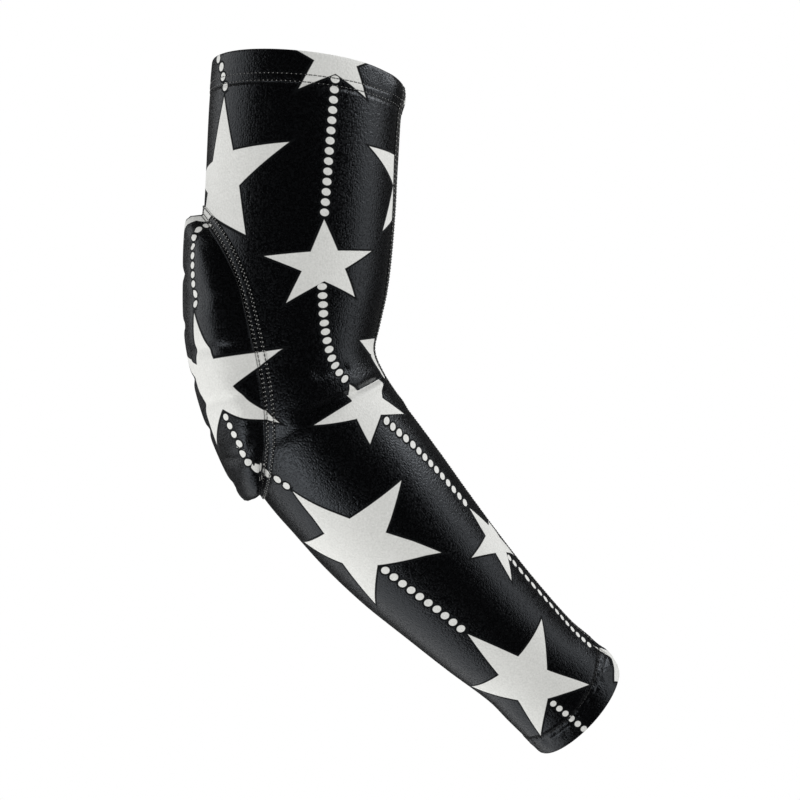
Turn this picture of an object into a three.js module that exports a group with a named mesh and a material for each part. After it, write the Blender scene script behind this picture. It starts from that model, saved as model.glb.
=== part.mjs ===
// Padded basketball arm sleeve: a stretch-knit tube from the upper arm to the wrist, worn on a bent
// arm, with a pad of foam cells over the back of the elbow.
// Millimetres, +Z up. The upper arm stands along +Z and the forearm runs down towards +X.
// The origin is the middle of the elbow, where the upper arm's line and the forearm's line meet.

import * as THREE from 'three';

const degrees = (angle) => angle * Math.PI / 180;

// The arm's middle line, measured from the middle of the bend
const UPPER_LENGTH = 170.5;
const FORE_LENGTH = 227.5;
const BEND_LENGTH = 84;
const FLEX = degrees(47);
const SWING = degrees(10);

// Half sizes of the worn sleeve: deep from crook to back, wide from side to side
const BICEPS = { deep: 50, wide: 46.5 };
const ELBOW = { deep: 43, wide: 42.5 };
const FOREARM = { deep: 43, wide: 41 };
const WRIST = { deep: 31.5, wide: 27 };

// Cloth and clearances
const WALL = 1.2;
const HEM_WALL = 2.4;
const CLEARANCE = 0.3;

// Hems: each rim leans towards the crook, the upper one dips at the seam, and the wrist's hem is
// deeper there
const UPPER_HEM = 15.5;
const UPPER_LEAN = 2;
const UPPER_DIP = 2.5;
const WRIST_HEM_BACK = 10.5;
const WRIST_HEM_FRONT = 20;
const WRIST_LEAN = 2;

// Flatlock seam down the crook side
const SEAM_WIDTH = 6;
const SEAM_WALL = 0.8;

// Elbow pad, measured along and across the back of the sleeve
const PAD_WIDTH = 114;
const PAD_ABOVE = 88;
const PAD_BELOW = 69;
const PAD_CENTRE = 28.5;
const PAD_RISE = 9.6;
const PAD_CROWN = 0.3;
const PAD_ROUNDING = 2.1;
const BAND_WIDTH = 4.6;
const BAND_WALL = 1.3;
const COVER_WALL = 1.5;
const SIDE_SLOPE = 10;
const END_SLOPE = 4.5;

// Foam cells: rows of one pitch, a middle column and two side columns set half a pitch lower
const CELL_PITCH = 25.5;
const CELL_FIRST = 24;
const CELL_GAP = 2.4;
const CELL_SEAT = 0.6;
const CELL_DRAWN_IN = 2.5;
const GROOVE_DEPTH = 1.3;
const GROOVE_REACH = CELL_PITCH / 6;
const MIDDLE_SHARE = 0.26;

// Folds at the crook of the elbow
const FOLD_DEPTH = 2.6;
const FOLD_WIDTH = 7;

// Mesh steps
const SIDES = 36;
const UPPER_STEPS = 9;
const BEND_STEPS = 20;
const FORE_STEPS = 12;

// The sleeve's sections: how far along the upper arm or forearm, and how far it reaches to the back,
// to the crook and to each side, as shares of the half sizes that the row follows
const SECTIONS = [
  { run: 'upper', along: 1.00, follows: BICEPS, back: 0.99, crook: 0.975, side: 0.99 },
  { run: 'upper', along: 0.88, follows: BICEPS, back: 1.00, crook: 0.985, side: 1.00 },
  { run: 'upper', along: 0.65, follows: BICEPS, back: 0.99, crook: 0.985, side: 1.00 },
  { run: 'upper', along: 0.47, follows: BICEPS, back: 0.985, crook: 0.97, side: 0.99 },
  { run: 'upper', along: 0.35, follows: BICEPS, back: 0.965, crook: 0.94, side: 0.97 },
  { run: 'upper', along: 0.235, follows: ELBOW, back: 1.09, crook: 1.015, side: 1.035 },
  { run: 'upper', along: 0.12, follows: ELBOW, back: 1.02, crook: 0.955, side: 1.01 },
  { run: 'fore', along: 0.00, follows: ELBOW, back: 0.99, crook: 0.99, side: 1.00 },
  { run: 'fore', along: 0.09, follows: ELBOW, back: 1.01, crook: 1.02, side: 0.99 },
  { run: 'fore', along: 0.175, follows: ELBOW, back: 1.02, crook: 1.01, side: 0.975 },
  { run: 'fore', along: 0.31, follows: FOREARM, back: 1.055, crook: 0.93, side: 1.00 },
  { run: 'fore', along: 0.44, follows: FOREARM, back: 1.035, crook: 0.835, side: 0.94 },
  { run: 'fore', along: 0.57, follows: FOREARM, back: 0.96, crook: 0.75, side: 0.855 },
  { run: 'fore', along: 0.70, follows: WRIST, back: 1.20, crook: 0.935, side: 1.15 },
  { run: 'fore', along: 0.83, follows: WRIST, back: 1.065, crook: 0.895, side: 1.035 },
  { run: 'fore', along: 0.90, follows: WRIST, back: 1.065, crook: 0.945, side: 1.00 },
  { run: 'fore', along: 1.00, follows: WRIST, back: 1.05, crook: 0.945, side: 1.00 },
];

// Folds: at is a share of the bend's length below its middle, lean moves it per turn around,
// from and to are degrees around from the crook, rise and width are shares of the fold sizes
const FOLDS = [
  { at: 0.035, lean: 0.005, from: -102, to: 102, rise: -1.0, width: 0.5 },
  { at: 0.085, lean: -0.01, from: -70, to: 70, rise: 0.5, width: 0.55 },
  { at: 0.15, lean: -0.07, from: -70, to: 70, rise: -0.4, width: 0.5 },
  { at: -0.15, lean: 0.0, from: 45, to: 78, rise: -0.45, width: 0.45 },
  { at: -0.13, lean: 0.0, from: -80, to: -50, rise: -0.4, width: 0.45 },
];

// Where the seam lies around the arm, in degrees from the crook
const SEAM_ROUTE = [
  { run: 'upper', along: 1.00, around: 10 },
  { run: 'upper', along: 0.75, around: 13 },
  { run: 'upper', along: 0.60, around: 9 },
  { run: 'upper', along: 0.40, around: 7 },
  { run: 'fore', along: 0.00, around: 2 },
  { run: 'fore', along: 0.45, around: -4 },
  { run: 'fore', along: 0.75, around: 2 },
  { run: 'fore', along: 1.00, around: 16 },
];

// Numbers

const clamp01 = (value) => Math.min(1, Math.max(0, value));

const mix = (from, to, share) => from + (to - from) * share;

function ease(value) {
  const share = clamp01(value);
  return share * share * (3 - 2 * share);
}

function spread(from, to, steps) {
  return Array.from({ length: steps }, (_, step) => mix(from, to, step / steps));
}

// A smooth curve through a table's rows, read at one place
function smoothThrough(places, values, place) {
  const last = places.length - 1;
  const slope = (row) => {
    const before = Math.max(0, row - 1);
    const after = Math.min(last, row + 1);
    return (values[after] - values[before]) / (places[after] - places[before]);
  };
  let row = 0;
  while (row < last - 1 && place > places[row + 1]) row += 1;
  const gap = places[row + 1] - places[row];
  const t = clamp01((place - places[row]) / gap);
  const rest = 1 - t;
  return values[row] * (1 + 2 * t) * rest * rest
    + slope(row) * gap * t * rest * rest
    + values[row + 1] * t * t * (3 - 2 * t)
    - slope(row + 1) * gap * t * t * rest;
}

// The arm's middle line

const stationOf = (row) => (row.run === 'upper' ? -row.along * UPPER_LENGTH : row.along * FORE_LENGTH);

const OVERRUN = 20;
const LINE_START = -UPPER_LENGTH - OVERRUN;
const LINE_END = FORE_LENGTH + OVERRUN;

function headingAt(station) {
  const turned = clamp01((station + BEND_LENGTH / 2) / BEND_LENGTH);
  const flex = FLEX * turned;
  const swing = SWING * ease(turned);
  return {
    along: new THREE.Vector3(
      Math.sin(flex) * Math.cos(swing),
      Math.sin(swing),
      -Math.cos(flex) * Math.cos(swing),
    ),
    crook: new THREE.Vector3(Math.cos(flex), 0, Math.sin(flex)),
  };
}

// Walks down the arm in small steps, then moves the line so that its two straight runs meet at x 0, z 0
function walkMiddleLine() {
  const step = 1;
  const count = Math.ceil((LINE_END - LINE_START) / step);
  const points = [new THREE.Vector3()];
  for (let walked = 0; walked < count; walked += 1) {
    const heading = headingAt(LINE_START + (walked + 0.5) * step).along;
    points.push(points[walked].clone().addScaledVector(heading, step));
  }
  const end = points[count];
  const heading = headingAt(LINE_END).along;
  const lift = -(end.z - heading.z * end.x / heading.x);
  points.forEach((point) => { point.z += lift; });
  return points;
}

const MIDDLE_LINE = walkMiddleLine();

function middleAt(station) {
  const walked = Math.min(MIDDLE_LINE.length - 1.001, Math.max(0, station - LINE_START));
  const step = Math.floor(walked);
  return MIDDLE_LINE[step].clone().lerp(MIDDLE_LINE[step + 1], walked - step);
}

// The sleeve's surface

const SECTION_STATIONS = SECTIONS.map(stationOf);
const BACK_REACH = SECTIONS.map((row) => row.back * row.follows.deep);
const CROOK_REACH = SECTIONS.map((row) => row.crook * row.follows.deep);
const SIDE_REACH = SECTIONS.map((row) => row.side * row.follows.wide);

function foldAt(station, around) {
  let rise = 0;
  for (const fold of FOLDS) {
    const turned = THREE.MathUtils.radToDeg(around);
    const half = (fold.to - fold.from) / 2;
    const offset = Math.abs(turned - (fold.from + half)) / half;
    if (offset < 1) {
      const at = (fold.at + fold.lean * Math.abs(turned) / 90) * BEND_LENGTH;
      const away = (station - at) / (fold.width * FOLD_WIDTH);
      rise += fold.rise * FOLD_DEPTH * Math.exp(-away * away) * ease((1 - offset) * 2.5);
    }
  }
  return rise;
}

// A point of the sleeve: its station on the middle line, its angle around from the crook towards -Y,
// and its lift off the outer skin
function skin(station, around, lift) {
  const { along, crook } = headingAt(station);
  const front = crook.addScaledVector(along, -crook.dot(along)).normalize();
  const side = new THREE.Vector3().crossVectors(along, front);
  const turned = Math.atan2(Math.sin(around), Math.cos(around));
  const cos = Math.cos(turned);
  const sin = Math.sin(turned);
  const reach = cos >= 0 ? CROOK_REACH : BACK_REACH;
  const deep = smoothThrough(SECTION_STATIONS, reach, station);
  const wide = smoothThrough(SECTION_STATIONS, SIDE_REACH, station);
  const outwards = new THREE.Vector2(cos * wide, sin * deep).normalize();
  const off = lift + foldAt(station, turned);
  return middleAt(station)
    .addScaledVector(front, cos * deep + outwards.x * off)
    .addScaledVector(side, sin * wide + outwards.y * off);
}

// Edges of the hems, as stations that change around the arm

const UPPER_EDGE = -UPPER_LENGTH + UPPER_HEM;
const WRIST_EDGE = FORE_LENGTH - WRIST_HEM_BACK;

const crookShare = (around) => ((1 + Math.cos(around)) / 2) ** 2.5;
const dipShare = (around) => ((1 + Math.cos(around)) / 2) ** 12;

const upperRim = (around) => -UPPER_LENGTH + UPPER_LEAN * Math.cos(around) + UPPER_DIP * dipShare(around);
const upperFold = (around) => UPPER_EDGE + (UPPER_LEAN * Math.cos(around) + UPPER_DIP * dipShare(around)) / 2;
const wristRim = (around) => FORE_LENGTH - WRIST_LEAN * Math.cos(around);
const wristFold = (around) => FORE_LENGTH - mix(WRIST_HEM_BACK, WRIST_HEM_FRONT, crookShare(around));

// Moves a ring's even station so that the first and last rings run along the hems
function tubeStation(even, around) {
  const upper = ease(1 - (even - UPPER_EDGE) / (UPPER_HEM * 2));
  const wrist = ease(1 - (WRIST_EDGE - even) / (WRIST_HEM_FRONT * 3));
  return even
    + upper * (upperFold(around) - UPPER_EDGE)
    + wrist * (wristFold(around) - WRIST_EDGE);
}

// Solids

// A closed solid between two grids of points: at(row, column, face), face 0 inside and 1 outside.
// Rows or columns that wrap join their last line to their first.
function slab(rows, columns, wraps, at) {
  const points = [];
  const faces = [];
  const key = (row, column, face) => (face * rows + row % rows) * columns + column % columns;
  for (const face of [0, 1]) {
    for (let row = 0; row < rows; row += 1) {
      for (let column = 0; column < columns; column += 1) points.push(at(row, column, face));
    }
  }
  const quad = (a, b, c, d) => faces.push(a, b, c, a, c, d);
  const rowSteps = wraps.rows ? rows : rows - 1;
  const columnSteps = wraps.columns ? columns : columns - 1;
  for (let row = 0; row < rowSteps; row += 1) {
    for (let column = 0; column < columnSteps; column += 1) {
      const corner = (down, across, face) => key(row + down, column + across, face);
      quad(corner(0, 0, 1), corner(1, 0, 1), corner(1, 1, 1), corner(0, 1, 1));
      quad(corner(0, 0, 0), corner(0, 1, 0), corner(1, 1, 0), corner(1, 0, 0));
    }
  }
  if (!wraps.rows) {
    for (let column = 0; column < columnSteps; column += 1) {
      quad(key(0, column, 0), key(0, column, 1), key(0, column + 1, 1), key(0, column + 1, 0));
      const end = rows - 1;
      quad(key(end, column, 1), key(end, column, 0), key(end, column + 1, 0), key(end, column + 1, 1));
    }
  }
  if (!wraps.columns) {
    for (let row = 0; row < rowSteps; row += 1) {
      quad(key(row, 0, 1), key(row, 0, 0), key(row + 1, 0, 0), key(row + 1, 0, 1));
      const end = columns - 1;
      quad(key(row, end, 0), key(row, end, 1), key(row + 1, end, 1), key(row + 1, end, 0));
    }
  }
  const geometry = new THREE.BufferGeometry().setFromPoints(points);
  geometry.setIndex(faces);
  geometry.computeVertexNormals();
  return geometry;
}

const ringAngle = (column) => -2 * Math.PI * column / SIDES;

// A band of cloth right round the arm, between two edges
function bandRound(stations, wall) {
  return slab(stations.length, SIDES, { rows: false, columns: true }, (row, column, face) => {
    const around = ringAngle(column);
    return skin(stations[row](around), around, face ? 0 : -wall);
  });
}

// The knit tube, hollow and open at both ends, with the crook's folds
function sleeveTube() {
  const top = UPPER_EDGE + CLEARANCE / 2;
  const bottom = WRIST_EDGE - CLEARANCE / 2;
  const stations = [
    ...spread(top, -BEND_LENGTH / 2, UPPER_STEPS),
    ...spread(-BEND_LENGTH / 2, BEND_LENGTH / 2, BEND_STEPS),
    ...spread(BEND_LENGTH / 2, bottom, FORE_STEPS),
    bottom,
  ];
  return bandRound(stations.map((even) => (around) => tubeStation(even, around)), WALL);
}

function upperHem() {
  const edge = (around) => upperFold(around) - CLEARANCE / 2;
  const middle = (around) => (upperRim(around) + edge(around)) / 2;
  return bandRound([upperRim, middle, edge], HEM_WALL);
}

function wristHem() {
  const edge = (around) => wristFold(around) + CLEARANCE / 2;
  const middle = (around) => (edge(around) + wristRim(around)) / 2;
  return bandRound([edge, middle, wristRim], HEM_WALL);
}

// The flat seam strip, laid on the sleeve from rim to rim
function armSeam() {
  const places = SEAM_ROUTE.map(stationOf);
  const turns = SEAM_ROUTE.map((row) => degrees(row.around));
  const start = upperRim(turns[0]) + CLEARANCE;
  const end = wristRim(turns[turns.length - 1]) - CLEARANCE;
  const stations = [
    ...spread(start, -BEND_LENGTH / 2, UPPER_STEPS + 1),
    ...spread(-BEND_LENGTH / 2, BEND_LENGTH / 2, BEND_STEPS),
    ...spread(BEND_LENGTH / 2, end, FORE_STEPS + 1),
    end,
  ];
  const across = [-0.5, 0, 0.5];
  return slab(stations.length, across.length, { rows: false, columns: false }, (row, column, face) => {
    const station = stations[row];
    const reach = smoothThrough(SECTION_STATIONS, SIDE_REACH, station);
    const around = smoothThrough(places, turns, station) - across[column] * SEAM_WIDTH / reach;
    return skin(station, around, CLEARANCE + face * SEAM_WALL);
  });
}

// The elbow pad

// Distances along the back of the sleeve are longer than on the middle line where the arm bends
const BACK_STRETCH = 1 + ELBOW.deep * FLEX / BEND_LENGTH;

function backStation(down) {
  const half = BEND_LENGTH / 2;
  const reach = half * BACK_STRETCH;
  if (Math.abs(down) <= reach) return down / BACK_STRETCH;
  return Math.sign(down) * (half + Math.abs(down) - reach);
}

// A point of the pad: down along the back from the pad's widest row, across from its middle, and lift
function padPoint(down, across, lift) {
  const around = Math.PI - across / ((ELBOW.deep + ELBOW.wide) / 2);
  return skin(backStation(down - PAD_CENTRE), around, lift);
}

// Half the pad's width at a row, for an outline drawn in from the pad's edge by some distance
function padHalf(down, inset) {
  const reach = (down < 0 ? PAD_ABOVE : PAD_BELOW) - inset;
  const share = clamp01(Math.abs(down) / reach);
  return (PAD_WIDTH / 2 - inset) * (1 - share ** PAD_ROUNDING) ** (1 / PAD_ROUNDING);
}

const COVER_INSET = BAND_WIDTH + CLEARANCE;
const COVER_ENDS = [0.99, 0.97, 0.935, 0.89];
const COVER_ABOVE = PAD_ABOVE - COVER_INSET;
const COVER_BELOW = PAD_BELOW - COVER_INSET;

// How far a point lies inside the cover's edge
function insideCover(down, across) {
  const high = (down < 0 ? PAD_ABOVE : PAD_BELOW) - COVER_INSET;
  const wide = PAD_WIDTH / 2 - COVER_INSET;
  const power = (Math.abs(down) / high) ** PAD_ROUNDING + (Math.abs(across) / wide) ** PAD_ROUNDING;
  const share = Math.max(0.001, power ** (1 / PAD_ROUNDING));
  const away = Math.hypot(down, across);
  return Math.max(0, (1 - share) * away / share);
}

// Rows of cells start at these distances, with the side columns half a pitch lower
const FIRST_LINE = -PAD_ABOVE + CELL_FIRST;
const LINES = Array.from({ length: 12 }, (_, line) => FIRST_LINE + line * CELL_PITCH / 2)
  .filter((line) => line < PAD_BELOW - CELL_PITCH / 2);
const SIDE_LINES = LINES.filter((_, line) => line % 2 === 0);
const MIDDLE_LINES = LINES.filter((_, line) => line % 2 === 1);

// How deep the grooves between cells are at a point, from 0 to 1
function grooveAt(down, across) {
  const middleHalf = MIDDLE_SHARE * padHalf(down, COVER_INSET);
  const inMiddle = Math.abs(across) < middleHalf - 0.01;
  const toColumn = Math.abs(Math.abs(across) - middleHalf) / Math.max(0.01, middleHalf / 2);
  const lines = inMiddle ? MIDDLE_LINES : SIDE_LINES;
  const toRow = Math.min(...lines.map((line) => Math.abs(down - line))) / GROOVE_REACH;
  return Math.max(0, 1 - Math.min(toColumn, toRow));
}

// Height of the cover's outer face above the sleeve, or of one whose slope starts further in
function coverLift(down, across, drawnIn = 0) {
  const inside = Math.max(0, insideCover(down, across) - drawnIn);
  const away = Math.max(0.001, Math.hypot(down, across));
  const slope = mix(END_SLOPE, SIDE_SLOPE, Math.abs(across) / away);
  const climbed = clamp01(inside / slope);
  const base = CLEARANCE + COVER_WALL;
  const crown = PAD_CROWN * Math.sin(clamp01(inside / (PAD_WIDTH / 4)) * Math.PI / 2);
  const plateau = mix(base, PAD_RISE, climbed) + crown;
  return plateau - GROOVE_DEPTH * grooveAt(down, across) * climbed;
}

// The cover, a shell over the cells with its edge against the sleeve
function padCover() {
  const third = CELL_PITCH / 6;
  const nearEnd = COVER_ENDS[COVER_ENDS.length - 1] - 0.03;
  const rows = COVER_ENDS.map((share) => -share * COVER_ABOVE);
  const before = Math.floor((FIRST_LINE + nearEnd * COVER_ABOVE) / third);
  for (let row = FIRST_LINE - before * third; row < nearEnd * COVER_BELOW; row += third) rows.push(row);
  rows.push(...COVER_ENDS.map((share) => share * COVER_BELOW).reverse());
  const ridge = 1 - SIDE_SLOPE / (PAD_WIDTH / 2 - COVER_INSET);
  const half = [
    MIDDLE_SHARE / 2, MIDDLE_SHARE, mix(MIDDLE_SHARE, ridge, 1 / 4), mix(MIDDLE_SHARE, ridge, 1 / 2),
    mix(MIDDLE_SHARE, ridge, 3 / 4), ridge, mix(ridge, 1, 1 / 2), 1,
  ];
  const across = [...half.map((share) => -share).reverse(), 0, ...half];
  return slab(rows.length, across.length, { rows: false, columns: false }, (row, column, face) => {
    const down = rows[row];
    const sideways = across[column] * padHalf(down, COVER_INSET);
    const lift = coverLift(down, sideways);
    return padPoint(down, sideways, face ? lift : lift - COVER_WALL);
  });
}

// The stitched band round the cover's edge
function padSeam() {
  const steps = 72;
  const ring = (turn, inset) => {
    const power = 2 / PAD_ROUNDING;
    const sin = Math.sin(turn);
    const cos = Math.cos(turn);
    const high = (sin < 0 ? PAD_ABOVE : PAD_BELOW) - inset;
    const down = Math.sign(sin) * Math.abs(sin) ** power * high;
    const across = Math.sign(cos) * Math.abs(cos) ** power * (PAD_WIDTH / 2 - inset);
    return [down, across];
  };
  return slab(steps, 2, { rows: true, columns: false }, (row, column, face) => {
    const turn = 2 * Math.PI * (row + 0.5) / steps;
    const [down, across] = ring(turn, column ? 0 : BAND_WIDTH);
    return padPoint(down, across, CLEARANCE + face * BAND_WALL);
  });
}

// One foam cell between two rows and two columns, its top a little under the cover
function foamCell(top, bottom, left, right) {
  const downs = [0, 1 / 3, 2 / 3, 1].map((share) => mix(top, bottom, share));
  const shares = [0, 0.25, 0.5, 0.75, 1];
  return slab(downs.length, shares.length, { rows: false, columns: false }, (row, column, face) => {
    const down = downs[row];
    const across = mix(left(down), right(down), shares[column]);
    const roof = coverLift(down, across, CELL_DRAWN_IN) - COVER_WALL - CELL_SEAT;
    return padPoint(down, across, face ? roof : CELL_SEAT);
  });
}

// Cells of one column, cut off short of the cover's ends
function foamColumn(lines, left, right) {
  const inset = SIDE_SLOPE / 2 + CELL_DRAWN_IN + CELL_PITCH / 5;
  const ends = [inset - COVER_ABOVE, ...lines, COVER_BELOW - inset];
  const cells = [];
  for (let line = 0; line < ends.length - 1; line += 1) {
    const top = ends[line] + (line === 0 ? 0 : CELL_GAP / 2);
    const bottom = ends[line + 1] - (line === ends.length - 2 ? 0 : CELL_GAP / 2);
    if (bottom - top > CELL_PITCH / 5) cells.push(foamCell(top, bottom, left, right));
  }
  return cells;
}

function foamCells() {
  const inner = (down) => MIDDLE_SHARE * padHalf(down, COVER_INSET);
  const outer = (down) => padHalf(down, COVER_INSET + SIDE_SLOPE / 2 + CELL_DRAWN_IN);
  const gap = CELL_GAP / 2;
  return {
    middle: foamColumn(MIDDLE_LINES, (down) => -inner(down) + gap, (down) => inner(down) - gap),
    near: foamColumn(SIDE_LINES, (down) => inner(down) + gap, outer),
    far: foamColumn(SIDE_LINES, (down) => -outer(down), (down) => -inner(down) - gap),
  };
}

// Finishes
const KNIT = { color: 0x17181b, roughness: 0.42, metalness: 0 };
const HEM_KNIT = { color: 0x1a1b1f, roughness: 0.46, metalness: 0 };
const THREAD = { color: 0x0c0c0e, roughness: 0.6, metalness: 0 };
const COVER_KNIT = { color: 0x1c1d20, roughness: 0.45, metalness: 0 };
const FOAM = { color: 0x3a3b3e, roughness: 0.9, metalness: 0 };

const sleeve = new THREE.Group();

function addPiece(name, geometry, finish) {
  const piece = new THREE.Mesh(geometry, new THREE.MeshStandardMaterial(finish));
  piece.name = name;
  sleeve.add(piece);
}

addPiece('sleeve_tube', sleeveTube(), KNIT);
addPiece('upper_hem', upperHem(), HEM_KNIT);
addPiece('wrist_hem', wristHem(), HEM_KNIT);
addPiece('arm_seam', armSeam(), THREAD);
addPiece('pad_cover', padCover(), COVER_KNIT);
addPiece('pad_seam', padSeam(), THREAD);

for (const [column, cells] of Object.entries(foamCells())) {
  cells.forEach((cell, index) => addPiece(`foam_cell_${column}_${index + 1}`, cell, FOAM));
}

export default sleeve;
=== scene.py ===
# %% [markdown]
# # A padded arm sleeve for basketball
# The real sleeve is a tube of stretch knit, worn from the upper arm to the wrist. A pad of foam cells
# sits over the back of the elbow under a sewn cover, and a pattern of stars and dots is printed on
# the cloth. Its solids come from the frame. This lesson dresses them: it gives each one its cloth,
# print, seams and stitches, in the same place and at the same size.

# %% Load the frame and keep its box
import math

import bpy
import numpy as np
from mathutils import Matrix, Vector


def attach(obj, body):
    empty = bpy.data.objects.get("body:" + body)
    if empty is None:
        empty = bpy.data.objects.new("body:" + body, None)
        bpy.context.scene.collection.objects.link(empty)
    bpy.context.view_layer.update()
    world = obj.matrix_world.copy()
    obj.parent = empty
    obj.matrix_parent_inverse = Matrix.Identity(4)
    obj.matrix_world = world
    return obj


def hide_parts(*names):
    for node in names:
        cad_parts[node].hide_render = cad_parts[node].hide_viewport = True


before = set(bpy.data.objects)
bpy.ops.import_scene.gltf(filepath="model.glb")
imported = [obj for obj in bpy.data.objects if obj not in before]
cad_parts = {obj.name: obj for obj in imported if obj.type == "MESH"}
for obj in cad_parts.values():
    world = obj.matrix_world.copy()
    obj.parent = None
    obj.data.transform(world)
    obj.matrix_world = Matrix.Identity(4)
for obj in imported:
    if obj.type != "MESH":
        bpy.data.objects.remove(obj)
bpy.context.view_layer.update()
print("frame holds", len(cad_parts), "solids")

# %% [markdown]
# ## Camera
# The photograph was taken from the side of the arm, level with the elbow, with a moderate long lens.
# The camera is rolled a little, so it is built from three directions and not from angles: where the
# picture's right and up point, and the line of sight, which is +Y.

# %% Camera
EYE = Vector((0.0576, -0.693, 0.0069))
ROLL = math.radians(3.4)
LENS = 60

picture_right = Vector((math.cos(ROLL), 0, math.sin(ROLL)))
picture_up = Vector((-math.sin(ROLL), 0, math.cos(ROLL)))
facing = Matrix((picture_right, picture_up, Vector((0, -1, 0)))).transposed()
camera_data = bpy.data.cameras.new("camera")
camera_data.lens = LENS
camera = bpy.data.objects.new("camera", camera_data)
camera.matrix_world = Matrix.Translation(EYE) @ facing.to_4x4()
bpy.context.scene.collection.objects.link(camera)
bpy.context.scene.camera = camera
print("camera at", tuple(EYE))

# %% [markdown]
# ## The arm's middle line
# Every piece lies on one surface, so that surface is written once, as a rule. A place on it is given
# by three numbers: its station, in millimetres along the arm from the middle of the bend, its angle
# around the arm from the crook of the elbow, and its lift off the cloth. Sculpting each piece by hand
# would not keep the pieces, the print and the stitches together. The sizes are those of the solids.

# %% Sizes of the arm
UPPER_LENGTH = 170.5
FORE_LENGTH = 227.5
BEND_LENGTH = 84.0
FLEX = math.radians(47)
SWING = math.radians(10)
CLEARANCE = 0.3

# Half sizes of the worn sleeve: from crook to back, and from side to side
BICEPS = (50, 46.5)
ELBOW = (43, 42.5)
FOREARM = (43, 41)
WRIST = (31.5, 27)

# Share of the upper arm (below 0) or forearm, half sizes, and reach to the back, crook and side.
# The back and crook reaches were fitted to the picture's outline by a program and then rounded
SECTIONS = [
    (-1.00, BICEPS, 0.99, 0.975, 0.99),
    (-0.88, BICEPS, 1.00, 0.985, 1.00),
    (-0.65, BICEPS, 0.99, 0.985, 1.00),
    (-0.47, BICEPS, 0.985, 0.97, 0.99),
    (-0.35, BICEPS, 0.965, 0.94, 0.97),
    (-0.235, ELBOW, 1.09, 1.015, 1.035),
    (-0.12, ELBOW, 1.02, 0.955, 1.01),
    (0.00, ELBOW, 0.99, 0.99, 1.00),
    (0.09, ELBOW, 1.01, 1.02, 0.99),
    (0.175, ELBOW, 1.02, 1.01, 0.975),
    (0.31, FOREARM, 1.055, 0.93, 1.00),
    (0.44, FOREARM, 1.035, 0.835, 0.94),
    (0.57, FOREARM, 0.96, 0.75, 0.855),
    (0.70, WRIST, 1.20, 0.935, 1.15),
    (0.83, WRIST, 1.065, 0.895, 1.035),
    (0.90, WRIST, 1.065, 0.945, 1.00),
    (1.00, WRIST, 1.05, 0.945, 1.00),
]

# %% Numbers that the rules share
def clamp01(value):
    return np.clip(value, 0.0, 1.0)


def mix(start, end, share):
    return start + (end - start) * share


def ease(value):
    share = clamp01(value)
    return share * share * (3 - 2 * share)


def smooth_through(places, values, place):
    """A smooth curve through a table's rows, read at many places at once."""
    places = np.asarray(places, float)
    values = np.asarray(values, float)
    last = len(places) - 1
    after = np.minimum(np.arange(last + 1) + 1, last)
    before = np.maximum(np.arange(last + 1) - 1, 0)
    slopes = (values[after] - values[before]) / (places[after] - places[before])
    row = np.clip(np.searchsorted(places, place) - 1, 0, last - 1)
    gap = places[row + 1] - places[row]
    t = clamp01((place - places[row]) / gap)
    rest = 1 - t
    rise = values[row] * (1 + 2 * t) * rest * rest + values[row + 1] * t * t * (3 - 2 * t)
    return rise + (slopes[row] * rest - slopes[row + 1] * t) * gap * t * rest


# %% The middle line
LINE_START = -UPPER_LENGTH - 20
LINE_END = FORE_LENGTH + 20


def heading_at(station):
    """Which way the arm runs at a station, and which way its crook faces."""
    turned = clamp01((station + BEND_LENGTH / 2) / BEND_LENGTH)
    flex = FLEX * turned
    swing = SWING * ease(turned)
    along = np.stack([np.sin(flex) * np.cos(swing), np.sin(swing), -np.cos(flex) * np.cos(swing)], -1)
    crook = np.stack([np.cos(flex), np.zeros_like(flex), np.sin(flex)], -1)
    return along, crook


def walk_middle_line():
    """Points 1 mm apart, moved so that the two straight runs meet at x 0, z 0."""
    steps = heading_at(LINE_START + 0.5 + np.arange(round(LINE_END - LINE_START)))[0]
    points = np.vstack([np.zeros(3), np.cumsum(steps, 0)])
    heading = heading_at(np.array(LINE_END))[0]
    points[:, 2] -= points[-1, 2] - heading[2] * points[-1, 0] / heading[0]
    return points


MIDDLE_LINE = walk_middle_line()


def middle_at(station):
    walked = np.clip(station - LINE_START, 0, len(MIDDLE_LINE) - 1.001)
    step = np.floor(walked).astype(int)
    return mix(MIDDLE_LINE[step], MIDDLE_LINE[step + 1], (walked - step)[..., None])


print("middle line is", len(MIDDLE_LINE) - 1, "mm long")

# %% [markdown]
# ## Folds and the cloth's surface
# Where an arm bends, its sleeve bunches at the crook. Each fold is a soft ridge or hollow that runs
# part of the way around, so a short table of folds is enough: where it is, how it leans, how far it
# reaches, how high and how wide it is. The first five rows are in the solids too, and the rest are
# the smaller creases that the cloth shows, and a bulge at each hem where the seam passes under it.

# %% Folds
FOLD_DEPTH = 2.6
FOLD_WIDTH = 7.0

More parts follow.
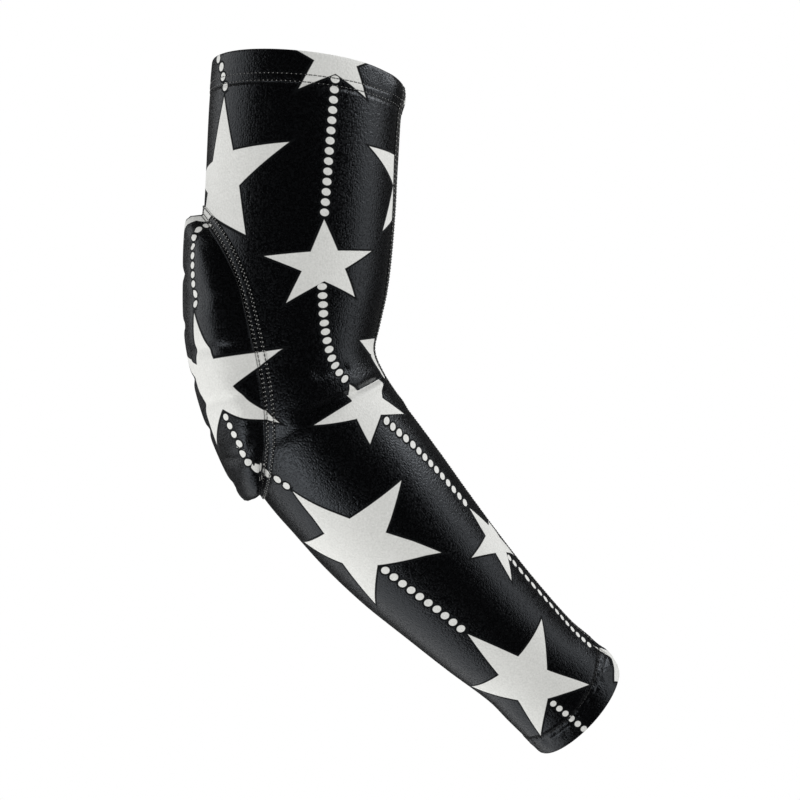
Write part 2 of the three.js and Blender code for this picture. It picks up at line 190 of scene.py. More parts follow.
# Share of the bend's length, lean, from and to in degrees around, rise, width
FOLDS = [
    (0.035, 0.005, 4, 102, -1.0, 0.5),
    (0.035, 0.005, -102, -14, -1.0, 0.5),
    (0.030, 0.005, 6, 96, -0.45, 0.2),
    (0.085, -0.01, 4, 70, 0.5, 0.55),
    (0.085, -0.01, -70, -14, 0.5, 0.55),
    (0.15, -0.07, 8, 70, -0.4, 0.5),
    (0.15, -0.07, -70, -16, -0.4, 0.5),
    (-0.15, 0.0, 45, 78, -0.45, 0.45),
    (-0.13, 0.0, -80, -50, -0.4, 0.45),
    (0.02, 0.06, 60, 128, -0.28, 0.4),
    (0.24, -0.10, 20, 84, -0.16, 0.55),
    (-0.26, 0.05, 52, 96, -0.18, 0.5),
    (-0.06, 0.10, -120, -40, -0.3, 0.45),
    (0.27, -0.08, -96, -10, -0.25, 0.6),
    (0.40, -0.12, -80, 30, 0.14, 1.1),
    (-0.40, 0.10, -60, 60, 0.12, 1.2),
    (-1.92, 0.0, -30, 38, 0.77, 0.95),
    (2.58, 0.0, -34, 40, 0.65, 0.9),
]


def fold_at(station, around):
    rise = np.zeros_like(station)
    turned = np.degrees(around)
    for at, lean, start, end, height, width in FOLDS:
        half = (end - start) / 2
        offset = np.abs(turned - start - half) / half
        away = (station - (at + lean * np.abs(turned) / 90) * BEND_LENGTH) / (width * FOLD_WIDTH)
        rise += height * FOLD_DEPTH * np.exp(-away * away) * ease((1 - offset) * 2.5)
    return rise


# %% The cloth's surface
PLACES = np.array([row[0] * (UPPER_LENGTH if row[0] < 0 else FORE_LENGTH) for row in SECTIONS])
BACK_REACH = np.array([row[1][0] * row[2] for row in SECTIONS])
CROOK_REACH = np.array([row[1][0] * row[3] for row in SECTIONS])
SIDE_REACH = np.array([row[1][1] * row[4] for row in SECTIONS])


def skin(station, around, lift=0.0):
    """Points of the sleeve in mm. Around is in degrees: 0 at the crook, 90 towards the camera."""
    parts = np.broadcast_arrays(station, np.radians(around), lift)
    station, around, lift = (np.array(part, float) for part in parts)
    along, crook = heading_at(station)
    front = crook - along * np.sum(crook * along, -1, keepdims=True)
    front /= np.linalg.norm(front, axis=-1, keepdims=True)
    side = np.cross(along, front)
    turned = np.arctan2(np.sin(around), np.cos(around))
    cos, sin = np.cos(turned), np.sin(turned)
    to_crook = smooth_through(PLACES, CROOK_REACH, station)
    deep = np.where(cos >= 0, to_crook, smooth_through(PLACES, BACK_REACH, station))
    wide = smooth_through(PLACES, SIDE_REACH, station)
    outwards = np.hypot(cos * wide, sin * deep)
    off = (lift + fold_at(station, turned)) / outwards
    return (
        middle_at(station)
        + front * (cos * (deep + wide * off))[..., None]
        + side * (sin * (wide + deep * off))[..., None]
    )


print("cloth reaches", np.round(skin(0.0, 90.0), 1), "mm at the elbow's near side")

# %% [markdown]
# ## The print
# White stars and strings of dots run down the sleeve in five columns, printed on the flat cloth and
# then stretched round the arm. An image would be the short way, but a rule keeps every edge sharp at
# any size. Each face of the cloth is told where it lies in its nearest star and its nearest string of
# dots. The material then works out the star's straight edges and the round dots from those numbers.

# %% The chart of the print
# A star is its five tips, from its top tip on, as station in mm and degrees around. Where the cloth
# is stretched unevenly, the five corners between the tips follow. Corners and dots were read off
# the picture as pixels, and a program turned them into these places. Some were then moved
NEAR_STARS = [
    [(-150.4, 140.7), (-126.4, 93.5), (-80.4, 117), (-78, 172), (-113, 189)]
    + [(-122.6, 129.8), (-104.9, 123.6), (-91, 147.5), (-103.5, 158), (-118.8, 151.4)],
    [(-42.2, 145.9), (-27, 92), (3, 107.5), (3.1, 157.8), (-29, 176)]
    + [(-25.8, 132.7), (-15.3, 123.8), (-8.3, 135.4), (-13.7, 154.1), (-24.6, 150.1)],
    [(28.7, 127), (58.5, 65), (100, 79.5), (100.5, 148), (52, 161)]
    + [(54, 109), (71.7, 98), (82.4, 118), (71, 139), (52.5, 132)],
    [(142.4, 110), (167.5, 48.5), (212, 64), (217, 139), (172.5, 160)]
    + [(171, 95), (188.2, 84.5), (200.7, 103.3), (191.6, 126.7), (172.5, 119.3)],
    [(-90.5, 71.5), (-78, 36), (-54, 45.5), (-48, 91), (-70.5, 105.5)],
    [(98, 28.5), (115, -15), (142, -4), (141, 46.5), (114, 64)],
    [(204.5, 17), (222, -22), (248, -10), (249, 28), (223.5, 39)]
    + [(216, 3), (232, -10), (240, 8), (234, 22), (217, 15.5)],
    [(-56, -12), (-33, -74), (6, -52), (6, 6), (-29, 34)]
    + [(-36, -34), (-20, -46), (-8, -24), (-17.5, 17), (-31.5, -2)],
]

# This star crosses the deepest crease, which hides 8 mm of it
CREASED_STAR = [(-11, 53), (-3, 7), (37.8, 20), (33, 65), (9, 88.4)]
CREASED_STAR += [(0.5, 36.8), (15.5, 30.4), (23.8, 43.2), (16.7, 61), (6.7, 56.8)]
HIDDEN_IN_CREASE = 8.0

# Evenly drawn stars: station and degrees of the middle, height and width, side of the seam. The first
# two show in the picture and the rest are out of its sight, placed to carry the pattern on
PLAIN_STARS = [
    (-169, 70, 21, 35.5, 0),
    (-118, -4, 36, 52, 1),
    (-168, 215, 22, 37, 0),
    (-68, 215, 22, 37, 0),
    (-2, 212, 21, 38, 0),
    (122, 207, 24, 42, 0),
    (229, 222, 22, 40, 0),
    (-112, 287, 40, 51, 0),
    (-18, 287, 34, 50, 0),
    (67, 284, 40, 54, 0),
    (183, 279, 40, 57, 0),
    (-168, 357, 22, 37, -1),
    (-68, 357, 22, 37, -1),
    (15, 362, 23, 40, -1),
    (122, 366, 24, 42, -1),
]

# A string of dots: the dots' width in mm, then the number of the dot, its station and its degrees
# around, at a few of its dots. The print is stretched wider where the arm is thicker
DOT_STRINGS = [
    (4.5, [(0, -170.5, 151.5), (1, -165.5, 146), (3, -155, 140.5)]),
    (4.3, [(0, -85.5, 149), (3, -73.5, 150), (4, -69.3, 148.3), (7, -56, 146.9), (9, -46.1, 145.2)]),
    (
        4.1,
        [(0, -5.6, 134.9), (3, 3.9, 133.3), (4, 6.7, 135.6), (6, 11.4, 134), (7, 18.4, 136.5)]
        + [(8, 22.3, 131.8), (9, 26, 128.5)],
    ),
    (4.9, [(0, 87, 116.8), (6, 121, 111.8), (9, 138, 110.5)]),
    (3.7, [(0, 204.8, 103), (5, 226.5, 99)]),
    (4.8, [(0, -158.5, 70), (7, -123.5, 71), (13, -93.5, 71.5)]),
    (5.2, [(0, -57.5, 69.5), (3, -44.5, 66.5), (8, -19.5, 59.5), (11, -6.5, 54.5)]),
    (5.2, [(0, 29.5, 42.5), (2, 42, 40.7), (4, 52, 37.5), (8, 70.5, 33.5), (13, 94.5, 29)]),
    (
        4.2,
        [(0, 134, 25), (1, 138.5, 23.5), (5, 161, 19.8), (8, 176, 17.5), (11, 189, 19.5)]
        + [(14, 201.5, 22.5)],
    ),
    (4.5, [(0, -159, 215), (13, -93, 215)]),
    (4.5, [(0, -60, 215), (7, -29, 213)]),
    (4.5, [(0, 28, 209), (14, 96, 201)]),
    (4.0, [(0, 134, 198), (14, 204, 192)]),
    (4.5, [(0, -172, 287), (3, -156, 287)]),
    (4.5, [(0, -88, 287), (9, -56, 287)]),
    (4.5, [(0, 0, 287), (5, 24, 286)]),
    (4.5, [(0, 87, 283), (9, 138, 281)]),
    (3.7, [(0, 204, 279), (5, 228, 279)]),
]
DOT_LENGTH = 4.0
DOT_PITCH = 5.1


def plain_star(station, around, tall, wide):
    turns = np.radians(72 * np.arange(5))
    return [(station - tall * math.cos(t), around - wide * math.sin(t)) for t in turns]


STARS = [(tips, 0, 0) for tips in NEAR_STARS[:-1]] + [(NEAR_STARS[-1], 1, 0)]
STARS += [(CREASED_STAR, 0, HIDDEN_IN_CREASE)]
STARS += [(plain_star(*row[:4]), row[4], 0) for row in PLAIN_STARS]
print("print has", len(STARS), "stars and", len(DOT_STRINGS), "strings of dots")

# %% The seam's route, which cuts the print
SEAM_WIDTH = 6.0
SEAM_WALL = 0.8
SEAM_PLACES = [-UPPER_LENGTH, -0.75 * UPPER_LENGTH, -0.6 * UPPER_LENGTH, -0.4 * UPPER_LENGTH]
SEAM_PLACES += [0.0, 0.45 * FORE_LENGTH, 0.75 * FORE_LENGTH, FORE_LENGTH]
SEAM_TURNS = [10, 13, 9, 6, -3, -9, -6, 12]


def seam_around(station):
    return smooth_through(SEAM_PLACES, SEAM_TURNS, station)


def wrapped(turn):
    """The same angle, between -180 and 180 degrees."""
    return (turn + 180) % 360 - 180


# %% Where a place lies in a star
INNER = math.sin(math.radians(18)) / math.cos(math.radians(36))


def star_corners(first, radius):
    turns = np.radians(first + 72 * np.arange(5))
    return np.stack([np.sin(turns), np.cos(turns)], -1) * radius


def corners_between(tips):
    """The five inner corners of a star whose tips are given, as if it were seen at a slant."""
    middle, size = np.mean(tips, 0), np.ptp(tips, 0) / 2
    rows = []
    for (x, y), tip in zip(star_corners(0, 1.0), (np.array(tips) - middle) / size):
        station, around = tip
        rows.append([x, y, 1, 0, 0, 0, -station * x, -station * y, -station])
        rows.append([0, 0, 0, x, y, 1, -around * x, -around * y, -around])
    slant = np.linalg.svd(np.array(rows))[2][-1].reshape(3, 3)
    inner = np.column_stack([star_corners(36, INNER), np.ones(5)]) @ slant.T
    return inner[:, :2] / inner[:, 2:] * size + middle


def star_frame(tips):
    """A star's middle and size, and for each of its ten slices the turn into an even star."""
    inner = np.array(tips[5:]) if len(tips) > 5 else corners_between(tips)
    middle = inner.mean(0)
    ring = np.stack([np.array(tips[:5]), inner], 1).reshape(10, 2) - middle
    even = np.stack([star_corners(0, 1.0), star_corners(36, INNER)], 1).reshape(10, 2)
    slices = []
    for first in range(10):
        pair = [first, (first + 1) % 10]
        slices.append((np.linalg.inv(ring[pair].T), even[pair].T))
    return slices, middle, np.ptp(tips[:5], 0) / 2


def place_in_star(star, station, around):
    slices, middle, _ = star
    off = np.stack([station - middle[0], around - middle[1]], -1)
    placed = np.full(off.shape, 9.0)
    for shares, even in slices:
        share = off @ shares.T
        inside = (share >= 0).all(-1)
        placed[inside] = share[inside] @ even.T
    return placed[..., 0], placed[..., 1]


STAR_FRAMES = [star_frame(tips) for tips, _, _ in STARS]


# %% Give each face its place in the print
def corners_of(mesh, chart):
    """Each corner's station and angle, the face that it belongs to, and each face's middle."""
    vertex = np.empty(len(mesh.loops), np.int32)
    mesh.loops.foreach_get("vertex_index", vertex)
    start = np.empty(len(mesh.polygons), np.int32)
    mesh.polygons.foreach_get("loop_start", start)
    total = np.empty(len(mesh.polygons), np.int32)
    mesh.polygons.foreach_get("loop_total", total)
    face = np.repeat(np.arange(len(total)), total)
    station, around = chart[vertex].T
    first = around[start][face]
    around = first + wrapped(around - first)
    middle = np.stack([np.bincount(face, station), np.bincount(face, around)], -1) / total[:, None]
    return station, around, face, middle


def lay_stars(station, around, face, middle):
    """Own place in the nearest star for each corner, and that star's size in mm."""
    nearest = np.full(len(middle), 9.0)
    placed = np.full((len(station), 3), 9.0)
    side_of_seam = np.sign(wrapped(middle[:, 1] - seam_around(middle[:, 0])))
    above_crease = middle[:, 0] < 3 + 0.005 * np.abs(wrapped(middle[:, 1]))
    for star, (_, side, hidden) in zip(STAR_FRAMES, STARS):
        _, centre, size = star
        shift = wrapped(middle[:, 1] - centre[1]) + centre[1] - middle[:, 1]
        pushed = -hidden * above_crease
        x, y = place_in_star(star, middle[:, 0] + pushed, middle[:, 1] + shift)
        close = np.abs(middle[:, 0] - centre[0]) < 1.6 * size[0]
        close &= np.abs(middle[:, 1] + shift - centre[1]) < 1.6 * size[1]
        far = np.where(close & ((side == 0) | (side_of_seam == side)), np.hypot(x, y), 9.0)
        here = far < nearest
        nearest = np.where(here, far, nearest)
        corner = here[face]
        own = face[corner]
        x, y = place_in_star(star, station[corner] + pushed[own], around[corner] + shift[own])
        placed[corner, 0], placed[corner, 1] = x, y
        placed[corner, 2] = size[0]
    return placed


def skin_stretch(station, around):
    """How far the cloth runs in space for 1 mm of station and for 1 degree around."""
    down = skin(station + 0.5, around) - skin(station - 0.5, around)
    return np.stack([down, skin(station, around + 0.5) - skin(station, around - 0.5)], -1)


def lay_dots(station, around, face, middle, stretch):
    """Number along the nearest string of dots, half widths off its line, and how many dots it has."""
    nearest = np.full(len(middle), 99.0)
    placed = np.full((len(station), 3), (0.5, 99.0, 0.0))
    for width, string in DOT_STRINGS:
        table = np.array(string, float)
        numbers = np.arange(int(table[-1, 0]) + 1)
        dots = np.stack([np.interp(numbers, table[:, 0], table[:, k]) for k in (1, 2)], -1)
        for number, dot, ahead in zip(numbers, dots, np.gradient(dots, axis=0)):
            cloth = stretch(*dot)
            run = cloth @ ahead
            pitch = np.linalg.norm(run)
            sideways = np.cross(np.cross(cloth[:, 0], cloth[:, 1]), run)
            sideways /= np.linalg.norm(sideways) * width / 2
            to_place = np.stack([run / pitch**2, sideways]) @ cloth
            shift = wrapped(middle[:, 1] - dot[1]) + dot[1] - middle[:, 1]
            along, across = to_place @ np.stack([middle[:, 0] - dot[0], middle[:, 1] + shift - dot[1]])
            far = np.hypot(along * pitch, across * width / 2)
            here = (np.abs(along) < 0.8) & (far < nearest)
            nearest = np.where(here, far, nearest)
            corner = here[face]
            off = np.stack([station[corner] - dot[0], around[corner] + shift[face][corner] - dot[1]])
            along, across = to_place @ off
            placed[corner, 0] = number + along
            placed[corner, 1] = across
            placed[corner, 2] = numbers[-1]
    return placed


def lay_print(mesh, chart, stretch):
    """Stores the places that the printed cloth's material reads, one for each corner of each face."""
    station, around, face, middle = corners_of(mesh, chart)
    knit = np.stack([np.radians(around) * ELBOW[1], station, np.zeros_like(station)], -1)
    star = lay_stars(station, around, face, middle)
    dots = lay_dots(station, around, face, middle, stretch)
    for name, values in (("star", star), ("dots", dots), ("knit", knit)):
        layer = mesh.attributes.new(name, "FLOAT_VECTOR", "CORNER")
        layer.data.foreach_set("vector", values.astype(np.float32).ravel())


# %% [markdown]
# ## Materials
# The cloth is polyester and elastane satin knit, black with a white print. Its smooth face gives wide,
# soft highlights with a fine grain, and the print is chalky and barely shines. The thread is spun
# polyester, a little lighter than the cloth, and the cells are closed-cell foam.

# %% Colours and nodes
def linear(hex_colour):
    """An sRGB hex colour as the linear colour that a shader takes."""
    values = [int(hex_colour[i : i + 2], 16) / 255 for i in (0, 2, 4)]
    return [v / 12.92 if v <= 0.04045 else ((v + 0.055) / 1.055) ** 2.4 for v in values] + [1.0]


def add(tree, kind, inputs=None, **settings):
    """Adds a node, sets its settings, and links or sets its inputs."""
    node = tree.nodes.new(kind)
    for name, value in settings.items():
        setattr(node, name, value)
    for socket, value in (inputs or {}).items():
        if isinstance(value, bpy.types.NodeSocket):
            tree.links.new(value, node.inputs[socket])
        else:
            node.inputs[socket].default_value = value
    return node


def new_material(name):
    """A material with only its output, and the output."""
    material = bpy.data.materials.new(name)
    material.use_nodes = True
    material.node_tree.nodes.clear()
    return material, material.node_tree, add(material.node_tree, "ShaderNodeOutputMaterial")


# %% The print's edge, in millimetres
def math_node(tree, operation, first, second=None):
    inputs = {0: first} if second is None else {0: first, 1: second}
    return add(tree, "ShaderNodeMath", inputs, operation=operation).outputs[0]


def print_edge(tree):
    """How far a place is outside the print in mm, below 0 where it is white."""
    at = add(tree, "ShaderNodeAttribute", attribute_name="star")
    star = add(tree, "ShaderNodeSeparateXYZ", {0: at.outputs["Vector"]})
    x, y, size = star.outputs
    squares = math_node(tree, "ADD", math_node(tree, "POWER", x, 2), math_node(tree, "POWER", y, 2))
    far = math_node(tree, "SQRT", squares)
    turn = math_node(tree, "DIVIDE", math_node(tree, "ARCTAN2", x, y), math.radians(72))
    fifth = math_node(tree, "SUBTRACT", math_node(tree, "FRACT", math_node(tree, "ADD", turn, 0.5)), 0.5)
    angle = math_node(tree, "MULTIPLY", math_node(tree, "ABSOLUTE", fifth), math.radians(72))
    side = math_node(tree, "SINE", math_node(tree, "ADD", angle, math.radians(18)))
    off = math_node(tree, "SUBTRACT", math_node(tree, "MULTIPLY", far, side), math.sin(math.radians(18)))
    star_edge = math_node(tree, "MULTIPLY", off, size)

    at = add(tree, "ShaderNodeAttribute", attribute_name="dots")
    dots = add(tree, "ShaderNodeSeparateXYZ", {0: at.outputs["Vector"]})
    number, across, count = dots.outputs
    cell = math_node(tree, "SUBTRACT", math_node(tree, "FRACT", math_node(tree, "ADD", number, 0.5)), 0.5)
    down = math_node(tree, "POWER", math_node(tree, "MULTIPLY", cell, 2 * DOT_PITCH / DOT_LENGTH), 2)
    sideways = math_node(tree, "POWER", across, 2)
    off_middle = math_node(tree, "SQRT", math_node(tree, "ADD", down, sideways))
    round_off = math_node(tree, "SUBTRACT", off_middle, 1)
    dot_edge = math_node(tree, "MULTIPLY", round_off, DOT_LENGTH / 2)
    half = math_node(tree, "MULTIPLY", count, 0.5)
    past = math_node(tree, "ABSOLUTE", math_node(tree, "SUBTRACT", number, half))
    past_end = math_node(tree, "SUBTRACT", math_node(tree, "SUBTRACT", past, half), 0.5)
    dot_edge = math_node(tree, "MAXIMUM", dot_edge, math_node(tree, "MULTIPLY", past_end, DOT_PITCH))
    return math_node(tree, "MINIMUM", star_edge, dot_edge)


# %% Printed satin knit
# The grain and the ribs of the real knit are about 0.4 mm, too fine for the render's half-millimetre
# pixels, so both are drawn about twice as coarse
GRAIN = 1.0
RIB = 1.15


def printed_knit(name, roughness, ribs):
    material, tree, output = new_material(name)
    edge = print_edge(tree)
    white = add(tree, "ShaderNodeMapRange", {0: edge, 1: -0.25, 2: -0.03, 3: 1.0, 4: 0.0}).outputs[0]
    rim = add(tree, "ShaderNodeMapRange", {0: edge, 1: 0.6, 2: 0.9, 3: 1.0, 4: 0.0}).outputs[0]

    place = add(tree, "ShaderNodeTexCoord").outputs["Object"]
    fine = {"Vector": place, "Scale": 1000 / GRAIN, "Detail": 1.0, "Roughness": 0.5}
    grain = add(tree, "ShaderNodeTexNoise", fine).outputs[0]
    broad = add(tree, "ShaderNodeTexNoise", {"Vector": place, "Scale": 45.0, "Detail": 3.0}).outputs[0]
    at = add(tree, "ShaderNodeAttribute", attribute_name="knit")
    knit = add(tree, "ShaderNodeSeparateXYZ", {0: at.outputs["Vector"]})
    wale = math_node(tree, "SINE", math_node(tree, "MULTIPLY", knit.outputs[0], 2 * math.pi / RIB))
    course = math_node(tree, "SINE", math_node(tree, "MULTIPLY", knit.outputs[1], 2 * math.pi / (RIB * 0.8)))
    crossed = math_node(tree, "ADD", wale, math_node(tree, "MULTIPLY", course, 0.5))
    loops = math_node(tree, "MULTIPLY", crossed, ribs)
    height = math_node(tree, "ADD", grain, loops)
    bump = add(tree, "ShaderNodeBump", {"Height": height, "Strength": 0.8, "Distance": 0.0003})

    fine_share = math_node(tree, "MULTIPLY", grain, 0.7)
    shade = math_node(tree, "ADD", fine_share, math_node(tree, "MULTIPLY", broad, 0.3))
    ink = add(tree, "ShaderNodeMix", {0: shade, 6: linear("020203"), 7: linear("09090b")}, data_type="RGBA")
    rimmed = add(tree, "ShaderNodeMix", {0: rim, 6: ink.outputs[2], 7: linear("020202")}, data_type="RGBA")
    chalk = add(tree, "ShaderNodeMix", {0: shade, 6: linear("c9c9c5"), 7: linear("f2f2ef")}, data_type="RGBA")
    both = {0: white, 6: rimmed.outputs[2], 7: chalk.outputs[2]}
    colour = add(tree, "ShaderNodeMix", both, data_type="RGBA")

    spread = {0: grain, 1: 0.3, 2: 0.7, 3: roughness - 0.12, 4: roughness + 0.22}
    shine = add(tree, "ShaderNodeMapRange", spread)
    edged = add(tree, "ShaderNodeMix", {0: rim, 2: shine.outputs[0], 3: 0.95})
    rough = add(tree, "ShaderNodeMix", {0: white, 2: edged.outputs[0], 3: 0.72})
    shader = add(
        tree,
        "ShaderNodeBsdfPrincipled",
        {
            "Base Color": colour.outputs[2],
            "Roughness": rough.outputs[0],
            "Normal": bump.outputs[0],
            "IOR": 1.5,
            "Specular Tint": (0.84, 0.91, 1.0, 1.0),
            "Sheen Weight": 0.06,
            "Sheen Roughness": 0.4,
        },
    )
    tree.links.new(shader.outputs[0], output.inputs[0])
    return material


SATIN = printed_knit("printed_satin_knit", 0.24, 0.03)
COVER_SATIN = printed_knit("printed_cover_knit", 0.27, 0.03)
print("printed knits are ready")

# %% Plain knit, thread and foam
def grained(name, low, high, roughness, size, bump_strength, sheen):
    """A cloth or foam of two near colours, mixed and raised by a grain of the given size in mm."""
    material, tree, output = new_material(name)
    place = add(tree, "ShaderNodeTexCoord").outputs["Object"]
    grain = add(tree, "ShaderNodeTexNoise", {"Vector": place, "Scale": 1000 / size, "Detail": 3.0}).outputs[0]
    colour = add(tree, "ShaderNodeMix", {0: grain, 6: linear(low), 7: linear(high)}, data_type="RGBA")
    bump = add(tree, "ShaderNodeBump", {"Height": grain, "Strength": bump_strength, "Distance": size / 2000})
    shader = add(
        tree,
        "ShaderNodeBsdfPrincipled",
        {
            "Base Color": colour.outputs[2],
            "Roughness": roughness,
            "Normal": bump.outputs[0],
            "Sheen Weight": sheen,
        },
    )
    tree.links.new(shader.outputs[0], output.inputs[0])
    return material


# The knit's inner face, unprinted and duller than the outer one
LINING = grained("brushed_knit_lining", "1c1d20", "303136", 0.8, 1.2, 0.4, 0.15)
# Spun polyester thread: round, fibrous and softly shiny
THREAD = grained("polyester_thread", "9a9a98", "c9c9c6", 0.6, 0.5, 0.3, 0.1)
DARK_THREAD = grained("black_polyester_thread", "050506", "141416", 0.5, 0.5, 0.3, 0.1)
# Closed-cell foam: matt, with pores of about a millimetre
FOAM = grained("closed_cell_foam", "2c2d30", "47484c", 0.92, 1.4, 0.6, 0.0)
print("plain materials are ready")

# %% [markdown]
# ## Cloth from rows of points
# Each piece of cloth is a lattice: rows of points down the arm, columns around it, and a second face
# under the first for the cloth's thickness. Building both faces and the turned edges by rule keeps
# the wall even and the mesh closed, where a thickness added later would pinch at the folds.

# %% Lattices
def lattice(points, wrap_rows, wrap_columns):
    """Quads between the points of a grid, joined round where a direction wraps."""
    rows, columns = points.shape[:2]
    down = np.arange(rows if wrap_rows else rows - 1)[:, None]
    across = np.arange(columns if wrap_columns else columns - 1)[None, :]
    next_row, next_column = (down + 1) % rows, (across + 1) % columns
    corners = [down * columns + across, next_row * columns + across]
    corners += [next_row * columns + next_column, down * columns + next_column]
    return np.stack([np.broadcast_to(c, (down.size, across.size)) for c in corners], -1).reshape(-1, 4)


def outwards(points, faces):
    """The faces, turned so that a closed piece has its outside out."""
    first, second, third = (points[[face[i] for face in faces]] for i in (0, 1, 2))
    fourth = points[[face[-1] for face in faces]]
    swept = np.sum(first * np.cross(second, third)) + np.sum(first * np.cross(third, fourth))
    return [list(face) if swept > 0 else list(face)[::-1] for face in faces]


def cloth_object(name, points, faces, chart, materials, inside=None, stretch=skin_stretch):
    """An object in metres with its place in its mesh, its print laid, and its lining marked."""
    mesh = bpy.data.meshes.new(name)
    mesh.from_pydata((points / 1000).tolist(), [], outwards(points, faces))
    for material in materials:
        mesh.materials.append(material)
    mesh.polygons.foreach_set("use_smooth", [True] * len(mesh.polygons))
    if inside is not None:
        marked = [int(inside[list(face.vertices)].all()) for face in mesh.polygons]
        mesh.polygons.foreach_set("material_index", marked)
    lay_print(mesh, chart, stretch)
    mesh.update()
    piece = bpy.data.objects.new(name, mesh)
    bpy.context.scene.collection.objects.link(piece)
    print(name, "has", len(mesh.polygons), "faces")
    return piece


# %% Hem edges
UPPER_HEM = 15.5
UPPER_LEAN = 2.0
UPPER_DIP = 2.5
WRIST_HEM_BACK = 10.5
WRIST_HEM_FRONT = 20.0
WRIST_LEAN = 2.0
HEM_WALL = 2.4
UPPER_EDGE = UPPER_HEM - UPPER_LENGTH
WRIST_EDGE = FORE_LENGTH - WRIST_HEM_BACK


def lean_of(around):
    """The upper hem's slant and its dip at the seam, as stations."""
    cos = np.cos(np.radians(around))
    return UPPER_LEAN * cos + UPPER_DIP * ((1 + cos) / 2) ** 12


def upper_rim(around):
    return lean_of(around) - UPPER_LENGTH


def upper_fold(around):
    return UPPER_EDGE + lean_of(around) / 2


def wrist_rim(around):
    return FORE_LENGTH - WRIST_LEAN * np.cos(np.radians(around))


def wrist_fold(around):
    share = ((1 + np.cos(np.radians(around))) / 2) ** 2.5
    return FORE_LENGTH - mix(WRIST_HEM_BACK, WRIST_HEM_FRONT, share)


# %% The sleeve's tube
WALL = 1.2
COLUMNS = 156
STEP = 2.0
TURNS = 360 * np.arange(COLUMNS) / COLUMNS


def tube_station(even, around):
    """Moves an even ring so that the first and last rings run along the hems."""
    upper = ease(1 - (even - UPPER_EDGE) / (UPPER_HEM * 2))
    wrist = ease(1 - (WRIST_EDGE - even) / (WRIST_HEM_FRONT * 3))
    return even + upper * (upper_fold(around) - UPPER_EDGE) + wrist * (wrist_fold(around) - WRIST_EDGE)


def sleeve_tube():
    coarse = np.arange(UPPER_EDGE, WRIST_EDGE, STEP)
    fine = np.arange(-15, 21, STEP / 2)
    outer = np.concatenate([coarse[coarse < fine[0]], fine, coarse[coarse > fine[-1]], [WRIST_EDGE]])
    inner = outer[::-2]
    rows = np.concatenate([outer, inner])
    lift = np.concatenate([np.zeros(len(outer)), np.full(len(inner), -WALL)])
    station = tube_station(rows[:, None], TURNS[None, :])
    around = np.broadcast_to(TURNS, station.shape)
    points = skin(station, around, lift[:, None])
    chart = np.stack([station, around], -1).reshape(-1, 2)
    inside = np.repeat(lift < 0, COLUMNS)
    faces = lattice(points, True, True)
    return cloth_object("sleeve_cloth", points.reshape(-1, 3), faces, chart, [SATIN, LINING], inside)


sleeve = sleeve_tube()

# %% [markdown]
# ## Hems
# Each end of the sleeve is folded in once and sewn down, so a hem is two layers thick, rounded at its
# rim and drawn in where the needle goes. Its cross-section is a short table that runs from the sewn
# edge, over the rim, and back up inside.

# %% Hems
# Share of the way from the rim to the sewn edge, lift in mm
HEM_SECTION = [
    (1.0, 0.0),
    (0.97, 0.0),
    (0.94, -0.1),
    (0.90, 0.12),
    (0.82, 0.3),
    (0.75, 0.28),
    (0.715, 0.05),
    (0.68, 0.28),
    (0.60, 0.38),
    (0.45, 0.42),
    (0.30, 0.42),
    (0.18, 0.42),
    (0.08, 0.4),
    (0.02, 0.3),
    (-0.02, 0.0),
    (-0.035, -0.5),
    (-0.04, -1.2),
    (-0.03, -1.9),
    (0.0, -2.3),
    (0.08, -2.4),
    (0.4, -2.4),
    (1.0, -2.4),
]


def pucker_at(station, around, edge):
    """Small slanting gathers that the stitches pull into the wrist's hem."""
    off = station - edge
    wave = np.sin(np.radians(around * 17) + off * 0.35) + 0.6 * np.sin(np.radians(around * 29) - off * 0.5)
    return wave * np.exp(-((off - 2.5) / 4.5) ** 2)


def hem(name, rim, edge, puckers):
    share = np.array([row[0] for row in HEM_SECTION])[:, None]
    lift = np.array([row[1] for row in HEM_SECTION])[:, None]
    station = mix(rim(TURNS)[None, :], edge(TURNS)[None, :], share)
    around = np.broadcast_to(TURNS, station.shape)
    raised = lift + puckers * (lift > -0.5) * pucker_at(station, around, edge(around))
    points = skin(station, around, raised)
    chart = np.stack([station, around], -1).reshape(-1, 2)
    inside = np.repeat(lift[:, 0] < -1.5, COLUMNS)
    faces = lattice(points, True, True)
    return cloth_object(name, points.reshape(-1, 3), faces, chart, [SATIN, LINING], inside)


upper_hem = hem("upper_hem_cloth", upper_rim, upper_fold, 0.04)
wrist_hem = hem("wrist_hem_cloth", wrist_rim, wrist_fold, 0.26)

# %% [markdown]
# ## Flat seam
# The cloth is joined into a tube by a flat seam down the crook side: the two edges overlap, and many
# threads cross them. The strip itself is a low rounded band, and its threads are added further on.

